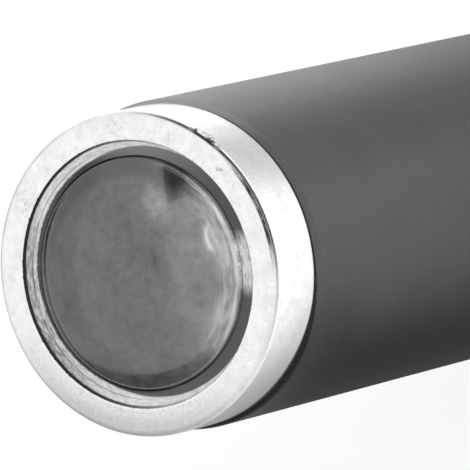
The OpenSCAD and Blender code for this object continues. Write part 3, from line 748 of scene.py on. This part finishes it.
def emitter_finish():
    """White ceramic base with the yellow light source showing through the clear dome on it."""
    base_h = 0.8
    material, tree, shader = new_finish("emitter_silicone", Roughness=0.12, Coat_Weight=0.6,
                                        Coat_Roughness=0.03)
    point = object_point(tree)
    dome_z = box_mm("led_emitter")[0].z + base_h
    on_dome = spread_mm(tree, coordinate(tree, point, "Z"), dome_z - 0.02, dome_z)
    grain = spread(tree, noise(tree, point, 0.15), 0.3, 0.7)
    ceramic = mix(tree, grain, (0.76, 0.76, 0.73, 1), (0.85, 0.85, 0.82, 1))
    source = mix(tree, grain, (0.78, 0.6, 0.12, 1), (0.88, 0.74, 0.24, 1))
    feed(tree, shader, Base_Color=mix(tree, on_dome, ceramic, source))
    return material


def film_finish():
    """Shrunk film round the cell, with fine ripples and the darker seam where it overlaps."""
    material, tree, shader = new_finish("wrap_film", Coat_Weight=0.4, Coat_Roughness=0.08)
    point = object_point(tree)
    ripples = noise(tree, point, 1.2, detail=3, stretch=(1, 1, 0.3))
    film = mix(tree, spread(tree, ripples, 0.3, 0.7), (0.08, 0.21, 0.36, 1), (0.11, 0.27, 0.45, 1))
    overlap = on_side(tree, point, 150, 7.04, 7.06)
    feed(tree, shader, Base_Color=mix(tree, overlap, film, (0.05, 0.14, 0.25, 1)),
         Roughness=spread(tree, ripples, 0.3, 0.7, 0.2, 0.3), Normal=raised(tree, ripples, 0.3, 0.05))
    return material


def dress(piece, material):
    piece.data.materials.clear()
    piece.data.materials.append(material)


NODE_FINISHES = {
    "bezel_metal": bezel_finish(),
    "anodised_metal": anodised_finish(),
    "lens_glass": lens_finish(),
    "turned_metal": turned_finish("turned_metal", (0.72, 0.72, 0.73), 0.3),
    "black_metal": plain_finish("black_metal", (0.03, 0.03, 0.03), 0.45),
    "seal_rubber": plain_finish("seal_rubber", (0.02, 0.02, 0.02), 0.5),
    "boot_rubber": plain_finish("boot_rubber", (0.03, 0.03, 0.03), 0.65),
    "board_white": board_finish("board_white", (0.82, 0.82, 0.8), (0.66, 0.66, 0.63)),
    "board_green": board_finish("board_green", (0.03, 0.18, 0.08), (0.07, 0.32, 0.13)),
    "emitter_silicone": emitter_finish(),
    "white_plastic": plain_finish("white_plastic", (0.85, 0.85, 0.83), 0.45),
    "ivory_plastic": plain_finish("ivory_plastic", (0.78, 0.74, 0.64), 0.45),
    "black_plastic": plain_finish("black_plastic", (0.03, 0.03, 0.03), 0.5),
    "wire_cover": plain_finish("wire_cover", (0.5, 0.05, 0.04), 0.4),
    "ferrite": plain_finish("ferrite", (0.09, 0.09, 0.1), 0.6),
    "capacitor_ceramic": plain_finish("capacitor_ceramic", (0.5, 0.36, 0.2), 0.45),
    "wrap_film": film_finish(),
    "plated_steel": plain_finish("plated_steel", (0.7, 0.7, 0.7), 0.25, 1.0),
    "gold_plated_steel": plain_finish("gold_plated_steel", (0.78, 0.6, 0.25), 0.25, 1.0),
    "brass_metal": turned_finish("brass_metal", (0.72, 0.55, 0.25), 0.3),
}


def dress_nodes():
    for part in frame["record"]["subparts"]:
        dress(frame["nodes"][part["node"]], NODE_FINISHES[part["material_slot"]])


def set_in_frame(piece, node, body=None):
    """Dresses a piece as the node that it stands for, and lets it ride with a body unless it bends."""
    slot = next(part["material_slot"] for part in frame["record"]["subparts"] if part["node"] == node)
    dress(piece, NODE_FINISHES[slot])
    if body:
        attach(piece, body)
    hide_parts(node)


# Pieces

def bezel_piece():
    """Ring with a stepped and flared mouth, a threaded skirt and a seal groove."""
    band_z = FACE_Z - BEZEL_BAND
    lip_z = FACE_Z - BEZEL_LIP
    seal_z = band_z - SKIRT_SEAL_BELOW_BAND
    skirt = [
        (SKIRT_R, band_z),
        (SKIRT_R, seal_z + SKIRT_GROOVE_W / 2),
        (SKIRT_GROOVE_R, seal_z + SKIRT_GROOVE_W / 2),
        (SKIRT_GROOVE_R, seal_z - SKIRT_GROOVE_W / 2),
        (SKIRT_R, seal_z - SKIRT_GROOVE_W / 2),
        *reversed(thread_points(SKIRT_R, bezel_low.z, seal_z - SKIRT_SEAL_BELOW_BAND)),
        (SKIRT_R, bezel_low.z),
    ]
    outline = [
        (POCKET_R, bezel_low.z),
        (POCKET_R, lip_z),
        (THROAT_R, lip_z),
        (THROAT_R, FACE_Z - MOUTH_FLARE_END),
        (MOUTH_FLARE_R, FACE_Z - MOUTH_STEP),
        (MOUTH_R, FACE_Z - MOUTH_STEP),
        (MOUTH_R, FACE_Z),
        *arc((BEZEL_R - BEZEL_ROUND, FACE_Z - BEZEL_ROUND), BEZEL_ROUND, 90, 0, 10),
        (BEZEL_R, band_z + BEZEL_SEAM),
        (BEZEL_R - BEZEL_SEAM, band_z),
        *skirt,
    ]
    piece = turned_mesh("bezel", soften(outline, BEZEL_CORNER))
    set_in_frame(piece, "bezel_ring", "head")


def sleeve_piece():
    """Sliding sleeve with a rail below, a chamber for the collar and a socket for the bezel."""
    stop_z = sleeve_low.z + SLEEVE_STOP_ABOVE
    outline = [
        (RAIL_R, sleeve_low.z),
        (BODY_R - SEAM_CHAMFER, sleeve_low.z),
        (BODY_R, sleeve_low.z + SEAM_CHAMFER),
        (BODY_R, sleeve_high.z - SLEEVE_LEAD),
        (BODY_R - SLEEVE_LEAD_IN, sleeve_high.z),
        (SOCKET_R, sleeve_high.z),
        (SOCKET_R, bezel_low.z),
        (CHAMBER_R, bezel_low.z),
        (CHAMBER_R, stop_z),
        (RAIL_R, stop_z),
    ]
    piece = turned_mesh("sleeve", soften(outline, TUBE_CORNER))
    set_in_frame(piece, "head_sleeve", "head")


def lens_piece():
    """Domed lens with a narrow flat round the dome and a flange under the bezel's lip."""
    rim_z = FACE_Z - LENS_RIM_DEPTH
    flange_top = FACE_Z - BEZEL_LIP
    flange_low = flange_top - LENS_FLANGE_T
    taper_z = rim_z - LENS_TAPER
    dome_h = lens_high.z - rim_z
    sphere_r = (LENS_DOME_R ** 2 + dome_h ** 2) / (2 * dome_h)
    dome_centre = (0, lens_high.z - sphere_r)
    dome_start = 90 - math.degrees(math.asin(LENS_DOME_R / sphere_r))
    outline = [
        (0, lens_low.z),
        (LENS_R, lens_low.z),
        (LENS_R, flange_low),
        (LENS_FLANGE_R, flange_low),
        (LENS_FLANGE_R, flange_top),
        (LENS_NECK_R, flange_top),
        (LENS_NECK_R, taper_z),
        *arc((LENS_RIM_R - LENS_EDGE_ROUND, rim_z - LENS_EDGE_ROUND), LENS_EDGE_ROUND, 10, 90, 5),
        *arc(dome_centre, sphere_r, dome_start, dome_start + 0.1, 1),
        *arc(dome_centre, sphere_r, dome_start + 0.7, 90, 32),
    ]
    piece = turned_mesh("lens_body", outline, closed=False)
    set_in_frame(piece, "lens", "head")


def tube_piece():
    """Battery tube with a barrel for the sleeve in front and a threaded socket at the tail."""
    socket_z = tube_low.z + TAIL_SOCKET_LEN
    engine_z = tube_high.z - ENGINE_BORE_LEN
    outline = [
        (TAIL_SOCKET_R, tube_low.z),
        (BODY_R - SEAM_CHAMFER, tube_low.z),
        (BODY_R, tube_low.z + SEAM_CHAMFER),
        (BODY_R, SHOULDER_Z - SEAM_CHAMFER),
        (BODY_R - SEAM_CHAMFER, SHOULDER_Z),
        (BARREL_R, SHOULDER_Z),
        (BARREL_R, tube_high.z),
        (ENGINE_BORE_R, tube_high.z),
        (ENGINE_BORE_R, engine_z),
        (BORE_R, engine_z),
        (BORE_R, socket_z),
        (TAIL_SOCKET_R, socket_z),
    ]
    piece = turned_mesh("tube", soften(outline, TUBE_CORNER))
    set_in_frame(piece, "body_tube", "body")


def cap_piece():
    """Screw-off tail cap with grip grooves, a recess for the button and a threaded spigot."""
    web_top = RECESS_DEPTH + WEB_T
    groove_top = TAIL_GROOVE_LOW + TAIL_GROOVE_W
    grip = []
    for i in range(GRIP_GROOVES):
        middle = CAP_LEN / 2 + (i - (GRIP_GROOVES - 1) / 2) * GRIP_PITCH
        grip += [
            (BODY_R, middle - GRIP_W / 2),
            (BODY_R - GRIP_DEPTH, middle - GRIP_W / 2),
            (BODY_R - GRIP_DEPTH, middle + GRIP_W / 2),
            (BODY_R, middle + GRIP_W / 2),
        ]
    outline = [
        (RECESS_R, 0),
        (BODY_R - RIM_CHAMFER, 0),
        (BODY_R, RIM_CHAMFER),
        *grip,
        (BODY_R, CAP_LEN - SEAM_CHAMFER),
        (BODY_R - SEAM_CHAMFER, CAP_LEN),
        (SPIGOT_R, CAP_LEN),
        (SPIGOT_R, TAIL_GROOVE_LOW),
        (TAIL_GROOVE_R, TAIL_GROOVE_LOW),
        (TAIL_GROOVE_R, groove_top),
        (SPIGOT_R, groove_top),
        *thread_points(SPIGOT_R, groove_top, cap_high.z),
        (SPIGOT_R, cap_high.z),
        (CAP_BORE_R, cap_high.z),
        (CAP_BORE_R, web_top),
        (BUTTON_HOLE_R, web_top),
        (BUTTON_HOLE_R, RECESS_DEPTH),
        (RECESS_R, RECESS_DEPTH),
    ]
    piece = turned_mesh("cap", soften(outline, CAP_CORNER))
    set_in_frame(piece, "tail_cap", "tail")


def boot_piece():
    """Rubber cover of the button, whose wall shortens when the button goes in."""
    crown = boot_low.z
    flange_low = boot_high.z - BOOT_FLANGE_T
    flange_r = boot_high.x
    inside_r = BOOT_R - BOOT_WALL
    wall_steps = 10
    wall_low = crown + BOOT_WALL
    shares = [i / wall_steps for i in range(wall_steps + 1)]
    wall = [(BOOT_R, wall_low + (flange_low - wall_low) * share) for share in shares[1:]]
    inner = [(inside_r, boot_high.z + (wall_low - boot_high.z) * share) for share in shares]
    crown_point = (2, crown + 0.2 * BOOT_CROWN_RISE)
    outline = [
        (0, crown),
        crown_point,
        *arc((inside_r, wall_low + BOOT_CROWN_RISE), BOOT_WALL, -90, 0, 10),
        *wall,
        (flange_r, flange_low),
        (flange_r, boot_high.z),
        *inner,
        (0, wall_low),
    ]
    piece = turned_mesh("boot", outline, INSIDE_STEPS, closed=False)
    set_in_frame(piece, "button_boot")
    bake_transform(piece)


def spring_piece(name, node, radii, wire, curls, body=None):
    """A coil of round wire whose first and last tenth of a curl lie flat, between the node's ends."""
    steps_a_curl = 32
    flat = 0.1
    node_low, node_high = box_mm(node)
    low = node_low.z + wire / 2
    high = node_high.z - wire / 2
    data = bpy.data.curves.new(name, "CURVE")
    data.dimensions = "3D"
    data.bevel_depth = wire / 2 * MM
    data.bevel_resolution = 4
    data.use_fill_caps = True
    path = data.splines.new("POLY")
    path.points.add(curls * steps_a_curl)
    for i, point in enumerate(path.points):
        turned = i / steps_a_curl
        rise = min(1, max(0, (turned - flat) / (curls - 2 * flat)))
        radius = radii[0] + (radii[1] - radii[0]) * rise
        angle = FULL_TURN * turned
        place = Vector((radius * math.cos(angle), radius * math.sin(angle), low + (high - low) * rise))
        point.co = (*(place * MM), 1)
    wound = bpy.data.objects.new(name + "_path", data)
    mesh = bpy.data.meshes.new_from_object(wound)
    mesh.name = name
    bpy.data.objects.remove(wound)
    smooth_to(mesh, 50)
    piece = add_object(name, mesh)
    set_in_frame(piece, node, body)
    return piece


def springs():
    spring_piece("front_spring", "front_contact_spring", radii=(2.2, 2.2), wire=0.6, curls=5, body="body")
    spring_piece("tail_contact_spring", "tail_spring", radii=(4, 2.6), wire=0.7, curls=5, body="tail")
    return_spring = spring_piece("return_spring", "switch_spring", radii=(1.35, 1.35), wire=0.25, curls=3)
    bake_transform(return_spring)


# Studio

def place_camera():
    roll = TUBE_RISE + math.pi / 2
    side = Vector((1, 0, 0))
    up = Vector((0, math.cos(VIEW_TILT), math.sin(VIEW_TILT)))
    back = side.cross(up)
    right = side * math.cos(roll) - up * math.sin(roll)
    top = side * math.sin(roll) + up * math.cos(roll)
    turn = Matrix((right, top, back)).transposed()
    data = bpy.data.cameras.new("camera")
    data.sensor_width = SENSOR_WIDTH
    data.lens = FOCAL_LENGTH
    data.clip_end = 20
    camera = add_object("camera", data)
    place = Vector((0, 0, FACE_Z * MM)) - turn @ FACE_IN_VIEW
    camera.matrix_world = Matrix.Translation(place) @ turn.to_4x4()
    bpy.context.scene.camera = camera


def background_ray(tree):
    """One for the rays that should meet a white background, and nought for the rest."""
    path = put(tree, "ShaderNodeLightPath")
    return largest(tree, path.outputs["Is Camera Ray"], path.outputs["Is Glossy Ray"],
                   path.outputs["Is Transmission Ray"])


def set_world():
    world = bpy.data.worlds.new("studio")
    bpy.context.scene.world = world
    world.use_nodes = True
    tree = world.node_tree
    background = tree.nodes["Background"]
    strength = spread(tree, background_ray(tree), 0, 1, 0.12, 1)
    tree.links.new(strength, background.inputs["Strength"])
    background.inputs["Color"].default_value = (1, 1, 1, 1)


def lay_floor():
    """A white floor with the light's shadow, and four wide patches of painted shade that only polished
    pieces see.
    """
    # Azimuth, distance, reach, core and darkness of each patch of painted shade
    patches = (
        (-120, 28, 90, 32, 0.85),
        (62, 71, 52, 12, 0.56),
        (80, 28, 40, 8, 0.4),
        (-122, 340, 330, 180, 0.5),
    )
    half_width_m = 2
    below_tail = 0.02
    shape = bmesh.new()
    bmesh.ops.create_grid(shape, x_segments=1, y_segments=1, size=half_width_m)
    bmesh.ops.translate(shape, verts=shape.verts, vec=(0, 0, -below_tail * MM))
    floor = add_object("floor", finished_mesh("floor", shape))
    material, tree, shader = new_finish("floor", Base_Color=(0.25, 0.25, 0.25, 1), Roughness=0.9,
                                        Specular_IOR_Level=0.0, Emission_Color=(1, 1, 1, 1))
    point = object_point(tree)
    glow = 1
    for azimuth, distance, reach, core, darkness in patches:
        patch = near(tree, point, round_the_tube(azimuth, distance), reach, core)
        glow = product(tree, glow, opposite(tree, product(tree, patch, darkness)))
    seen_in_gloss = put(tree, "ShaderNodeLightPath").outputs["Is Glossy Ray"]
    white = product(tree, background_ray(tree), 0.85)
    strength = put(tree, "ShaderNodeMix", {
        "Factor": seen_in_gloss, "A": white, "B": glow,
    }, data_type="FLOAT").outputs["Result"]
    from_above = opposite(tree, put(tree, "ShaderNodeNewGeometry").outputs["Backfacing"])
    feed(tree, shader, Emission_Strength=strength, Alpha=from_above)
    dress(floor, material)


def card_finish(name, strength, fade):
    """Dim or bright card whose edges fade away over a share of its width and height."""
    material, tree, shader = new_finish(name, Base_Color=(0.02, 0.02, 0.02, 1), Roughness=1.0,
                                        Specular_IOR_Level=0.0, Emission_Color=(1, 1, 1, 1),
                                        Emission_Strength=strength)
    place = put(tree, "ShaderNodeTexCoord").outputs["UV"]
    alpha = 1
    for axis, share in zip(("X", "Y"), fade):
        along = coordinate(tree, place, axis)
        inward = calc(tree, "MINIMUM", along, opposite(tree, along))
        alpha = product(tree, spread(tree, inward, 0, share, soft=True), alpha)
    feed(tree, shader, Alpha=alpha)
    return material


def studio_card(name, place_at, strength, fade):
    """A card that only reflections show. place_at gives its places across and up, both from 0 to 1."""
    shape = bmesh.new()
    shape.loops.layers.uv.new("UVMap")
    bmesh.ops.create_grid(shape, x_segments=24, y_segments=8, size=1, calc_uvs=True)
    for point in shape.verts:
        point.co = Vector(place_at((point.co.x + 1) / 2, (point.co.y + 1) / 2)) * MM
    card = add_object(name, finished_mesh(name, shape))
    dress(card, card_finish(name, strength, fade))
    card.visible_camera = False
    card.visible_diffuse = False
    card.visible_shadow = False
    card.visible_transmission = False


def wall(azimuths, distances, lows, highs):
    """Places on an upright curved card, from its first azimuth to its last, in degrees and millimetres."""
    def between(pair, share):
        return pair[0] + (pair[1] - pair[0]) * share

    def place_at(across, up):
        height = between((between(lows, across), between(highs, across)), up)
        return round_the_tube(between(azimuths, across), between(distances, across), height)
    return place_at


def overhead_strip(across, up):
    """Places on a bowed strip above the lens, which narrows to half its width towards +X."""
    start_x = 5
    length = 118
    bow = 16
    middle_y = -98 + bow * math.sin(math.pi * across)
    width = 30 * (1 - across / 2)
    return (start_x + length * across, middle_y + width * (up - 0.5), 498)


def set_cards():
    studio_card("card_right", wall((-22, 75), (480, 480), (-20, -20), (420, 760)), 0.03, (0.12, 0.05))
    studio_card("card_beside", wall((50, 102.5), (480, 480), (-20, -20), (840, 1040)), 0.03, (0.02, 0.02))
    studio_card("card_front", wall((-75, 20), (520, 520), (140, 140), (560, 620)), 0.5, (0.3, 0.25))
    studio_card("card_left", wall((-94, -165), (500, 500), (240, 50), (740, 150)), 0.19, (0.04, 0.03))
    studio_card("card_back", wall((-120, -236), (620, 620), (-20, -20), (500, 500)), 0.66, (0.15, 0.3))
    studio_card("card_below", wall((-18, -160), (14, 14), (0, 0), (88, 81)), 0.13, (0.35, 0.012))
    studio_card("card_strip", overhead_strip, 6, (0.25, 0.35))


def soft_lamp(name, place, size, power):
    data = bpy.data.lights.new(name, "AREA")
    data.shape = "RECTANGLE"
    data.size, data.size_y = size
    data.energy = power
    lamp = add_object(name, data)
    lamp.location = place
    aim = Vector((0, 0, FACE_Z * MM / 2)) - Vector(place)
    lamp.rotation_euler = aim.to_track_quat("-Z", "Y").to_euler()
    lamp.visible_glossy = False


def set_lamps():
    soft_lamp("key", (0.24, -0.58, 0.62), size=(0.4, 0.4), power=7)
    soft_lamp("fill", (-0.3, 0.7, 0.3), size=(0.5, 0.5), power=3)


place_camera()
set_world()
lay_floor()
set_cards()
set_lamps()
dress_nodes()
bezel_piece()
sleeve_piece()
lens_piece()
tube_piece()
cap_piece()
boot_piece()
springs()

bpy.context.scene.view_settings.view_transform = "Standard"
